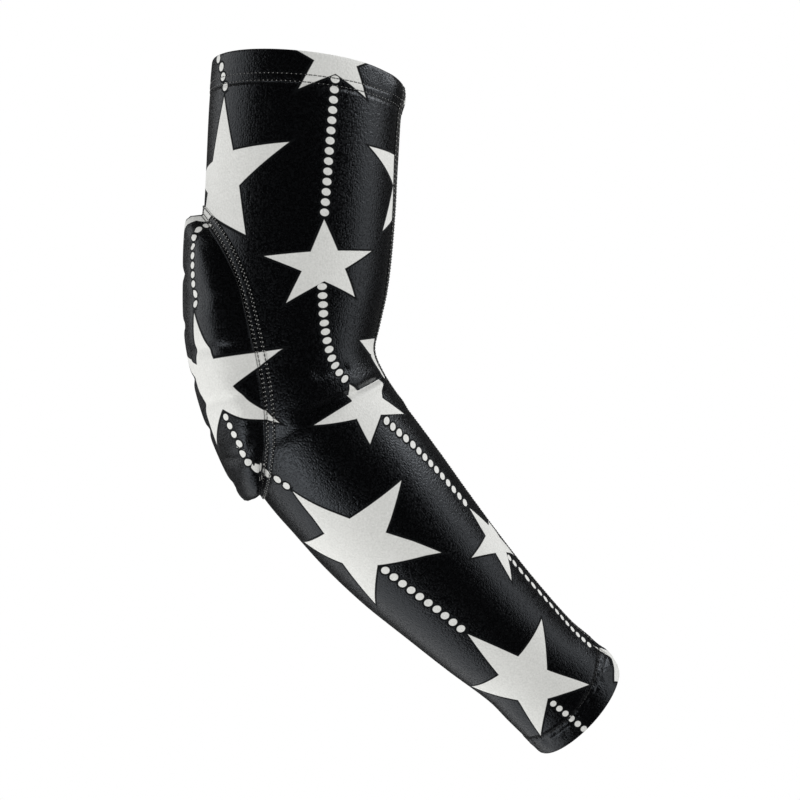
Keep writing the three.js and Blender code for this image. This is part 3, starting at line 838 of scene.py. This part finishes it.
# %% Strips that follow the cloth
def strip(name, station, around, sections, closed, material_list):
    """A closed band along a route. Sections are (mm across, lift) round the band's own edge."""
    route = np.stack([station, around], -1)
    ahead = np.roll(route, -1, 0) - route if closed else np.gradient(route, axis=0)
    if closed:
        ahead = ahead + (route - np.roll(route, 1, 0))
    scale = math.pi / 180 * smooth_through(PLACES, SIDE_REACH, station)
    run = np.stack([ahead[:, 0], ahead[:, 1] * scale], -1)
    run /= np.linalg.norm(run, axis=-1, keepdims=True)
    offset = np.array([row[0] for row in sections])[None, :]
    lift = np.array([row[1] for row in sections])[None, :]
    at = station[:, None] - run[:, 1:] * offset
    turn = around[:, None] + run[:, :1] * offset / scale[:, None]
    points = skin(at, turn, np.broadcast_to(lift, at.shape))
    faces = lattice(points, closed, True).tolist()
    if not closed:
        count = len(sections)
        faces += [list(range(count))[::-1], [(len(station) - 1) * count + i for i in range(count)]]
    chart = np.stack([at, turn], -1).reshape(-1, 2)
    return cloth_object(name, points.reshape(-1, 3), faces, chart, material_list)


# %% The seam's strip
def rounded_section(width, base, height, steps):
    """A flat base and a rounded top, as (mm across, lift) in order round the band."""
    turn = np.linspace(0, math.pi, steps)
    across = -width / 2 * np.sign(np.cos(turn)) * np.abs(np.cos(turn)) ** 0.7
    top = base + height * np.sin(turn) ** 0.5
    return [(a, t) for a, t in zip(across, top)] + [(width / 4, base), (-width / 4, base)]


PRINTED_FROM = 203.0
seam_stations = np.arange(upper_rim(SEAM_TURNS[0]) + 1.5, wrist_rim(SEAM_TURNS[-1]) - 1.5, 1.5)
seam_section = rounded_section(SEAM_WIDTH, 0.1, 0.6, 9)
seam_turns = seam_around(seam_stations)
seam_strip = strip("flat_seam", seam_stations, seam_turns, seam_section, False, [DARK_THREAD, SATIN])
# Its last part, by the wrist, is turned cloth side out and shows the print
row_of_face = np.arange(len(seam_strip.data.polygons)) // len(seam_section)
row_of_face = np.minimum(row_of_face, len(seam_stations) - 1)
printed = (seam_stations[row_of_face] > PRINTED_FROM).astype(np.int32)
seam_strip.data.polygons.foreach_set("material_index", printed)

# %% [markdown]
# ## Elbow pad
# The pad is a sewn cover over seventeen foam cells. Its outline is a rounded oval, its cover rises
# steeply from the stitched band to a nearly flat top, and shallow channels run over the gaps between
# the cells. The cover is worked out on an even grid, so that cloth can be simulated on it.

# %% Sizes of the pad
PAD_WIDTH = 114.0
PAD_ABOVE = 88.0
PAD_BELOW = 69.0
PAD_CENTRE = 28.5
PAD_RISE = 9.6
PAD_ROUNDING = 2.1
BAND_WIDTH = 4.6
COVER_WALL = 1.5
SIDE_SLOPE = (12.8, 7.0)
END_SLOPE = 4.5
CELL_PITCH = 25.5
CELL_FIRST = 24.0
MIDDLE_SHARE = 0.26
COVER_INSET = BAND_WIDTH + CLEARANCE
BACK_STRETCH = 1 + ELBOW[0] * FLEX / BEND_LENGTH
CHANNEL_DEPTH = 1.1
CHANNEL_WIDTH = 2.3
OVERHANG = (2.5, 4.8)
CORNER_OVERHANG = 6.5


def back_station(down):
    """Station of a distance along the back, which is longer than the middle line at the bend."""
    half = BEND_LENGTH / 2
    reach = half * BACK_STRETCH
    beyond = np.sign(down) * (half + np.abs(down) - reach)
    return np.where(np.abs(down) <= reach, down / BACK_STRETCH, beyond)


def pad_place(down, across):
    """Station and angle of a place on the pad."""
    return back_station(down - PAD_CENTRE), 180 - np.degrees(across / ((ELBOW[0] + ELBOW[1]) / 2))


def share_out(down, across, inset):
    """0 at the pad's middle and 1 on its outline, drawn in by some distance."""
    high = np.where(down < 0, PAD_ABOVE, PAD_BELOW) - inset
    wide = PAD_WIDTH / 2 - inset
    power = (np.abs(down) / high) ** PAD_ROUNDING + (np.abs(across) / wide) ** PAD_ROUNDING
    return np.maximum(0.001, power ** (1 / PAD_ROUNDING))


# %% Height of the cover
LINES = CELL_FIRST - PAD_ABOVE + CELL_PITCH / 2 * np.arange(12)
LINES = LINES[LINES < PAD_BELOW - CELL_PITCH / 2]


def pad_half(down, inset):
    reach = np.where(down < 0, PAD_ABOVE, PAD_BELOW) - inset
    share = clamp01(np.abs(down) / reach)
    return (PAD_WIDTH / 2 - inset) * (1 - share**PAD_ROUNDING) ** (1 / PAD_ROUNDING)


def channel_at(down, across):
    """How deep the cover sinks between cells, from 0 to 1."""
    middle_half = MIDDLE_SHARE * pad_half(down, COVER_INSET)
    to_column = np.abs(np.abs(across) - middle_half)
    to_middle_row = np.min(np.abs(down[..., None] - LINES[1::2]), -1)
    to_side_row = np.min(np.abs(down[..., None] - LINES[::2]), -1)
    to_row = np.where(np.abs(across) < middle_half, to_middle_row, to_side_row)
    beside_column = np.exp(-((to_column / CHANNEL_WIDTH) ** 2)) * 0.8
    return np.maximum(beside_column, np.exp(-((to_row / CHANNEL_WIDTH) ** 2)))


def inside_of(down, across):
    """How far a place is inside the cover's edge in mm, measured towards the pad's middle."""
    down = np.where(np.hypot(down, across) < 0.5, 0.5, down)
    share = share_out(down, across, COVER_INSET)
    away = np.hypot(down, across)
    return np.maximum(0, (1 - share) * away / share), away


def cover_lift(down, across):
    inside, away = inside_of(down, across)
    side = mix(SIDE_SLOPE[0], SIDE_SLOPE[1], ease((down + 5) / 30))
    slope = mix(END_SLOPE, side, np.abs(across) / away)
    climbed = clamp01(inside / slope)
    corner = climbed - 0.06 * np.exp(-(((inside - slope) / 1.8) ** 2))
    base = CLEARANCE + COVER_WALL
    crown = 0.3 * np.sin(clamp01(inside / (PAD_WIDTH / 4)) * np.pi / 2)
    sink = CHANNEL_DEPTH * channel_at(down, across) * ease((inside - 0.35 * slope) / (0.65 * slope))
    return mix(base, PAD_RISE, corner) + crown - sink


def overhang(down, across):
    """The pad's ends bulge over their seam, the lower one more than the upper one."""
    inside = inside_of(down, across)[0]
    rounded = ease(inside / 3.5)
    upper = OVERHANG[0] * ease((-down - 45) / 35)
    corner = np.exp(-(((np.abs(across) - 29) / 10) ** 2))
    lower = (OVERHANG[1] + CORNER_OVERHANG * corner) * ease((down - 30) / 30)
    return (lower - upper) * rounded


print("cover rises to", round(float(cover_lift(np.array([5.0]), np.array([4.0]))[0]), 1), "mm")

# %% The cover's grid
GRID_DOWN = 97
GRID_ACROSS = 73


def oval_grid():
    """An even square grid, rounded out to the cover's outline."""
    v, u = np.meshgrid(np.linspace(-1, 1, GRID_DOWN), np.linspace(-1, 1, GRID_ACROSS), indexing="ij")
    x = u * np.sqrt(1 - v * v / 2)
    y = v * np.sqrt(1 - u * u / 2)
    radius = np.hypot(x, y)
    turn = np.arctan2(y, x)
    high = np.where(y < 0, PAD_ABOVE, PAD_BELOW) - COVER_INSET
    wide = PAD_WIDTH / 2 - COVER_INSET
    stretch = np.abs(np.cos(turn) / wide) ** PAD_ROUNDING + np.abs(np.sin(turn) / high) ** PAD_ROUNDING
    reach = radius / stretch ** (1 / PAD_ROUNDING)
    return reach * np.sin(turn), reach * np.cos(turn)


cover_down, cover_across = oval_grid()
cover_station, cover_around = pad_place(cover_down, cover_across)
cover_over = pad_place(cover_down + overhang(cover_down, cover_across), cover_across)[0]
cover_top = skin(cover_over, cover_around, cover_lift(cover_down, cover_across))
print("cover grid has", cover_top.shape[0] * cover_top.shape[1], "points")


# %% [markdown]
# ## The cover's cloth
# On the real pad the cover is stretched tight over the cells. A short cloth simulation lets the grid
# settle under a slight pressure, held fast along its edge and in its channels, and no point may move
# more than a millimetre or so. It moves the cover only about 0.05 mm on average, so the form that
# shows comes from the height rule above and not from the simulation.

# %% Simulate the cover
SWELL_CAP = 1.3


def swell(points, held):
    """Blows the grid up as cloth and returns the new points. Held is 1 where a point is sewn down."""
    mesh = bpy.data.meshes.new("cover_trial")
    flat = points.reshape(-1, 3) / 1000
    mesh.from_pydata(flat.tolist(), [], lattice(points, False, False).tolist())
    trial = bpy.data.objects.new("cover_trial", mesh)
    bpy.context.scene.collection.objects.link(trial)
    pins = trial.vertex_groups.new(name="held")
    for index, weight in enumerate(held.ravel()):
        if weight > 0.01:
            pins.add([index], float(weight), "REPLACE")
    cloth = trial.modifiers.new("cloth", "CLOTH")
    cloth.settings.vertex_group_mass = "held"
    cloth.settings.quality = 4
    cloth.settings.mass = 0.01
    cloth.settings.tension_stiffness = 5
    cloth.settings.bending_stiffness = 0.05
    cloth.settings.use_pressure = True
    cloth.settings.uniform_pressure_force = 300
    cloth.settings.effector_weights.gravity = 0
    cloth.point_cache.frame_start, cloth.point_cache.frame_end = 1, 14
    for step in range(1, 15):
        bpy.context.scene.frame_set(step)
    evaluated = trial.evaluated_get(bpy.context.evaluated_depsgraph_get())
    moved = np.array([vertex.co for vertex in evaluated.data.vertices]).reshape(points.shape) * 1000
    bpy.context.scene.frame_set(1)
    bpy.data.objects.remove(trial)
    shift = moved - points
    far = np.linalg.norm(shift, axis=-1, keepdims=True)
    print("cover swelled by", round(float(far.mean()), 2), "mm on average before its cap")
    return points + shift * np.minimum(1, SWELL_CAP / np.maximum(far, 1e-6))


cover_held = np.clip(channel_at(cover_down, cover_across) * 1.2, 0, 1)
cover_held = np.maximum(cover_held, ease((share_out(cover_down, cover_across, COVER_INSET) - 0.9) / 0.08))
cover_top = swell(cover_top, cover_held)

# %% The cover's solid
def cover_stretch(station, around):
    """The same as for the plain cloth, read off the cover's own grid beside a place."""
    reach = math.pi / 180 * ELBOW[1]
    inner = (slice(1, -1), slice(1, -1))
    away = np.hypot(cover_station[inner] - station, (wrapped(cover_around[inner] - around)) * reach)
    row, column = (int(i) + 1 for i in np.unravel_index(away.argmin(), away.shape))
    steps = []
    for values in (cover_top, cover_station[..., None], cover_around[..., None]):
        down = values[row + 1, column] - values[row - 1, column]
        steps.append(np.stack([down, values[row, column + 1] - values[row, column - 1]], -1))
    return steps[0] @ np.linalg.inv(np.concatenate(steps[1:]))


def pad_cover():
    under = skin(cover_over, cover_around, cover_lift(cover_down, cover_across) - COVER_WALL)
    rows, columns = cover_top.shape[:2]
    points = np.concatenate([cover_top.reshape(-1, 3), under.reshape(-1, 3)])
    top = lattice(cover_top, False, False)
    faces = top.tolist() + (top[:, ::-1] + rows * columns).tolist()
    index = np.arange(rows * columns).reshape(rows, columns)
    rim = np.concatenate([index[0, :-1], index[:-1, -1], index[-1, :0:-1], index[:0:-1, 0]])
    after = np.roll(rim, -1)
    faces += np.stack([after, rim, rim + rows * columns, after + rows * columns], -1).tolist()
    flat = np.stack([cover_station, cover_around], -1).reshape(-1, 2)
    chart = np.concatenate([flat, flat])
    return cloth_object("pad_cover_cloth", points, faces, chart, [COVER_SATIN], stretch=cover_stretch)


cover = pad_cover()

# %% The stitched band round the pad
def pad_outline(inset, steps):
    """Places down and across along the pad's outline, drawn in by some distance."""
    turn = 2 * math.pi * (np.arange(steps) + 0.5) / steps
    sin, cos = np.sin(turn), np.cos(turn)
    high = np.where(sin < 0, PAD_ABOVE, PAD_BELOW) - inset
    down = np.sign(sin) * np.abs(sin) ** (2 / PAD_ROUNDING) * high
    return down, np.sign(cos) * np.abs(cos) ** (2 / PAD_ROUNDING) * (PAD_WIDTH / 2 - inset)


# How far in from the pad's outline, lift
BAND_SECTION = [
    (0.0, 0.1),
    (0.1, 0.4),
    (0.45, 0.55),
    (0.8, 0.45),
    (1.2, 0.65),
    (2.4, 0.72),
    (3.5, 0.65),
    (3.9, 0.45),
    (4.3, 0.7),
    (4.75, 1.2),
    (4.9, 0.3),
]


def pad_band():
    rings = [pad_outline(inset, 240) for inset, _ in BAND_SECTION]
    down = np.stack([ring[0] for ring in rings])
    across = np.stack([ring[1] for ring in rings])
    station, around = pad_place(down, across)
    points = skin(station, around, np.array([row[1] for row in BAND_SECTION])[:, None])
    faces = lattice(points, True, True)
    chart = np.stack([station, around], -1).reshape(-1, 2)
    return cloth_object("pad_seam_band", points.reshape(-1, 3), faces, chart, [COVER_SATIN])


band = pad_band()

# %% [markdown]
# ## Stitches
# A sewing machine makes the same stitch again and again along a line, which is what Geometry Nodes
# are for. One tree makes them all: it follows a path, sets a thread capsule down at an even spacing,
# and turns it along the path and off the cloth. The path carries the cloth's outward direction.

# %% The stitch tree
def stitch_tree():
    tree = bpy.data.node_groups.new("stitch_run", "GeometryNodeTree")
    tree.is_modifier = True
    sockets = {}
    wanted = [("Spacing", 0.0022), ("Length", 0.0014), ("Width", 0.0005), ("Height", 0.0004), ("Turn", 0.0)]
    sockets["Geometry"] = tree.interface.new_socket(
        "Geometry", in_out="INPUT", socket_type="NodeSocketGeometry"
    )
    for name, value in wanted:
        sockets[name] = tree.interface.new_socket(name, in_out="INPUT", socket_type="NodeSocketFloat")
        sockets[name].default_value = value
    sockets["Thread"] = tree.interface.new_socket("Thread", in_out="INPUT", socket_type="NodeSocketMaterial")
    tree.interface.new_socket("Geometry", in_out="OUTPUT", socket_type="NodeSocketGeometry")
    start = tree.nodes.new("NodeGroupInput").outputs
    end = tree.nodes.new("NodeGroupOutput")

    path = add(tree, "GeometryNodeMeshToCurve", {0: start["Geometry"]})
    spaced = {"Curve": path.outputs[0], "Length": start["Spacing"]}
    even = add(tree, "GeometryNodeResampleCurve", spaced, mode="LENGTH")
    capsule = add(tree, "GeometryNodeMeshUVSphere", {"Segments": 6, "Rings": 5, "Radius": 0.5})
    size = add(tree, "ShaderNodeCombineXYZ", {0: start["Length"], 1: start["Width"], 2: start["Height"]})
    thread = add(tree, "GeometryNodeTransform", {"Geometry": capsule.outputs[0], "Scale": size.outputs[0]})
    along = add(tree, "GeometryNodeInputTangent")
    outward = add(tree, "GeometryNodeInputNamedAttribute", {"Name": "outward"}, data_type="FLOAT_VECTOR")
    lay = add(tree, "FunctionNodeAlignRotationToVector", {"Vector": along.outputs[0]}, axis="X")
    stand = add(
        tree,
        "FunctionNodeAlignRotationToVector",
        {"Rotation": lay.outputs[0], "Vector": outward.outputs["Attribute"]},
        axis="Z",
        pivot_axis="X",
    )
    angle = add(tree, "FunctionNodeAxisAngleToRotation", {"Axis": (0, 0, 1), "Angle": start["Turn"]})
    turned = add(
        tree,
        "FunctionNodeRotateRotation",
        {"Rotation": stand.outputs[0], "Rotate By": angle.outputs[0]},
        rotation_space="LOCAL",
    )
    uneven = add(
        tree,
        "FunctionNodeRandomValue",
        {"Min": (0.9, 0.9, 0.9), "Max": (1.1, 1.1, 1.1), "Seed": 7},
        data_type="FLOAT_VECTOR",
    )
    laid = add(
        tree,
        "GeometryNodeInstanceOnPoints",
        {
            "Points": even.outputs[0],
            "Instance": thread.outputs[0],
            "Rotation": turned.outputs[0],
            "Scale": uneven.outputs[0],
        },
    )
    real = add(tree, "GeometryNodeRealizeInstances", {0: laid.outputs[0]})
    smooth = add(tree, "GeometryNodeSetShadeSmooth", {0: real.outputs[0]})
    done = add(tree, "GeometryNodeSetMaterial", {0: smooth.outputs[0], "Material": start["Thread"]})
    tree.links.new(done.outputs[0], end.inputs[0])
    return tree, {name: socket.identifier for name, socket in sockets.items()}


STITCH_TREE, STITCH_INPUTS = stitch_tree()


# %% Paths on the cloth and the threads on them
def path_mesh(name, station, around, lift, closed):
    """A line of points on the cloth, with the cloth's outward direction stored on each."""
    points = skin(station, around, lift) / 1000
    outward = skin(station, around, lift + 1) / 1000 - points
    outward /= np.linalg.norm(outward, axis=-1, keepdims=True)
    count = len(points)
    edges = [(i, (i + 1) % count) for i in range(count if closed else count - 1)]
    mesh = bpy.data.meshes.new(name)
    mesh.from_pydata(points.tolist(), edges, [])
    layer = mesh.attributes.new("outward", "FLOAT_VECTOR", "POINT")
    layer.data.foreach_set("vector", outward.astype(np.float32).ravel())
    return mesh


def stitch(name, runs, material, **sizes):
    """Stitches along several runs as one plain mesh. Sizes are in mm, Turn is in degrees."""
    made = []
    for number, (station, around, lift, closed) in enumerate(runs):
        mesh = path_mesh(f"{name}_path", np.asarray(station, float), np.asarray(around, float), lift, closed)
        path = bpy.data.objects.new(f"{name}_path_{number}", mesh)
        bpy.context.scene.collection.objects.link(path)
        nodes = path.modifiers.new("stitches", "NODES")
        nodes.node_group = STITCH_TREE
        for size, value in sizes.items():
            nodes[STITCH_INPUTS[size]] = math.radians(value) if size == "Turn" else value / 1000
        nodes[STITCH_INPUTS["Thread"]] = material
        bpy.context.view_layer.update()
        evaluated = path.evaluated_get(bpy.context.evaluated_depsgraph_get())
        made.append(bpy.data.meshes.new_from_object(evaluated))
        bpy.data.objects.remove(path)
    points = np.concatenate([read_points(mesh) for mesh in made])
    faces, offset = [], 0
    for mesh in made:
        faces += [[offset + v for v in face.vertices] for face in mesh.polygons]
        offset += len(mesh.vertices)
    joined = bpy.data.meshes.new(name)
    joined.from_pydata(points.tolist(), [], faces)
    joined.polygons.foreach_set("use_smooth", [True] * len(joined.polygons))
    joined.materials.append(material)
    piece = bpy.data.objects.new(name, joined)
    bpy.context.scene.collection.objects.link(piece)
    print(name, "has", len(faces), "faces")
    return piece


def read_points(mesh):
    values = np.empty(len(mesh.vertices) * 3)
    mesh.vertices.foreach_get("co", values)
    return values.reshape(-1, 3)


# %% Needle lines of the hems
FINE_TURNS = np.arange(0, 360, 1.5)


def ring_run(edge, offset, lift):
    return edge(FINE_TURNS) + offset, FINE_TURNS, lift, True


upper_rows = [ring_run(upper_fold, -4.4, 0.12), ring_run(upper_fold, -0.8, 0.0)]
wrist_rows = [ring_run(wrist_fold, 0.7, 0.0)]
upper_stitches = stitch(
    "upper_hem_stitches", upper_rows, DARK_THREAD, Spacing=2.3, Length=2.3, Width=0.55, Height=0.5, Turn=0
)
wrist_stitches = stitch(
    "wrist_hem_stitches", wrist_rows, DARK_THREAD, Spacing=2.8, Length=2.5, Width=1.0, Height=0.8, Turn=0
)
# The needle stretches the print, so the knit's white shows in a speck at each hole
upper_specks = stitch(
    "upper_hem_needle_specks", upper_rows, THREAD, Spacing=2.3, Length=0.5, Width=0.45, Height=0.7, Turn=0
)

# %% Needle lines round the pad
def pad_run(inset, lift):
    station, around = pad_place(*pad_outline(inset, 300))
    return station, around, lift, True


pad_lines = [pad_run(0.6, 0.6), pad_run(3.9, 0.5)]
pad_stitches = stitch(
    "pad_needle_lines", pad_lines, DARK_THREAD, Spacing=2.2, Length=2.2, Width=0.6, Height=0.5, Turn=0
)
speck_rows = [pad_run(0.2, 0.55), pad_run(3.5, 0.75)]
pad_specks = stitch(
    "pad_needle_specks", speck_rows, THREAD, Spacing=2.2, Length=0.6, Width=0.55, Height=0.4, Turn=0
)
speck_rows = [pad_run(1.1, 0.65), pad_run(4.4, 0.8)]
pad_side_specks = stitch(
    "pad_side_specks", speck_rows, THREAD, Spacing=2.25, Length=0.55, Width=0.5, Height=0.4, Turn=0
)

# %% Threads across the flat seam
def seam_run(offset, lift):
    sewn = seam_stations[seam_stations < PRINTED_FROM]
    scale = math.pi / 180 * smooth_through(PLACES, SIDE_REACH, sewn)
    return sewn, seam_around(sewn) + offset / scale, lift, False


ladder = [seam_run(-1.5, 0.68), seam_run(1.5, 0.68)]
seam_ladder = stitch(
    "seam_cover_threads", ladder, DARK_THREAD, Spacing=1.5, Length=0.5, Width=2.8, Height=0.5, Turn=18
)
edge_rows = [seam_run(-2.6, 0.5), seam_run(0.0, 0.75), seam_run(2.6, 0.5)]
seam_pips = stitch(
    "seam_needle_lines", edge_rows, THREAD, Spacing=2.4, Length=0.7, Width=0.5, Height=0.4, Turn=0
)

# %% [markdown]
# ## What each piece stands for
# The dressed pieces take the place of the plain solids. The foam cells keep their solids, because
# the cover hides them, and get the foam's finish.

# %% Put the pieces on the frame
pieces = {
    sleeve: ("knit", ["sleeve_tube"]),
    upper_hem: ("hem_knit", ["upper_hem"]),
    wrist_hem: ("hem_knit", ["wrist_hem"]),
    seam_strip: ("thread", ["arm_seam"]),
    cover: ("cover_knit", ["pad_cover"]),
    band: ("cover_knit", ["pad_seam"]),
    upper_stitches: ("thread", []),
    wrist_stitches: ("thread", []),
    pad_stitches: ("thread", []),
    upper_specks: ("thread", []),
    pad_specks: ("thread", []),
    pad_side_specks: ("thread", []),
    seam_ladder: ("thread", []),
    seam_pips: ("thread", []),
}
for piece, (slot, nodes) in pieces.items():
    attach(piece, "root")
    if nodes:
        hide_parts(*nodes)
for name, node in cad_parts.items():
    if name.startswith("foam_cell"):
        node.data.materials.clear()
        node.data.materials.append(FOAM)
print(len(pieces), "pieces ride on the sleeve")

# %% [markdown]
# ## Stage and light
# The photograph is a studio shot on pure white: large soft lights at the sides and nothing bright in
# front, so the black cloth shows a dark core between two grey flanks. The world gives the even light
# that the white print needs, and it is kept out of reflections, as a dark studio would be.

# %% Floor
FLOOR = -0.8
floor_mesh = bpy.data.meshes.new("pale_floor")
floor_corners = [(x, y, FLOOR) for x, y in ((-3, -3), (3, -3), (3, 1.3), (-3, 1.3))]
floor_mesh.from_pydata(floor_corners, [], [(0, 1, 2, 3)])
PAPER, paper_tree, paper_output = new_material("pale_paper")
paper = add(paper_tree, "ShaderNodeBsdfPrincipled", {"Base Color": linear("f4f4f2"), "Roughness": 0.95})
paper_tree.links.new(paper.outputs[0], paper_output.inputs[0])
floor_mesh.materials.append(PAPER)
floor = bpy.data.objects.new("pale_floor", floor_mesh)
floor.visible_glossy = False
bpy.context.scene.collection.objects.link(floor)


# %% Lights
def soft_light(name, place, target, width, height, power):
    data = bpy.data.lights.new(name, "AREA")
    data.shape = "RECTANGLE"
    data.size, data.size_y, data.energy = width, height, power
    light = bpy.data.objects.new(name, data)
    light.location = place
    light.rotation_euler = (Vector(target) - Vector(place)).to_track_quat("-Z", "Y").to_euler()
    light.visible_camera = False
    bpy.context.scene.collection.objects.link(light)
    return light


soft_light("left_softbox", (-1.0, 0.15, 0.2), (0, 0.15, 0.2), 1.1, 1.3, 4.3)
soft_light("right_softbox", (0.95, -0.08, 0.25), (0, -0.08, 0.25), 0.5, 1.0, 1.6)
soft_light("top_softbox", (0.75, -0.02, 0.75), (0.1, -0.02, -0.05), 0.75, 0.6, 4.8)
soft_light("low_softbox", (-0.44, 0.08, -0.72), (-0.44, 0.08, 0.0), 1.08, 0.8, 2.8)
soft_light("front_softbox", (-0.6, -0.76, -0.72), (-0.6, -0.76, 0.0), 0.85, 0.88, 4.8)

world = bpy.data.worlds.new("studio")
bpy.context.scene.world = world
world.use_nodes = True
sky = world.node_tree
sky.nodes.clear()
# The world is plain white behind the object, and dimmer as a light
seen = add(sky, "ShaderNodeLightPath").outputs["Is Camera Ray"]
strength = add(sky, "ShaderNodeMapRange", {0: seen, 3: 0.57, 4: 1.0})
around_light = add(sky, "ShaderNodeBackground", {"Color": linear("ffffff"), "Strength": strength.outputs[0]})
add(sky, "ShaderNodeOutputWorld", {0: around_light.outputs[0]})
world.cycles_visibility.glossy = False
bpy.context.scene.view_settings.view_transform = "Standard"
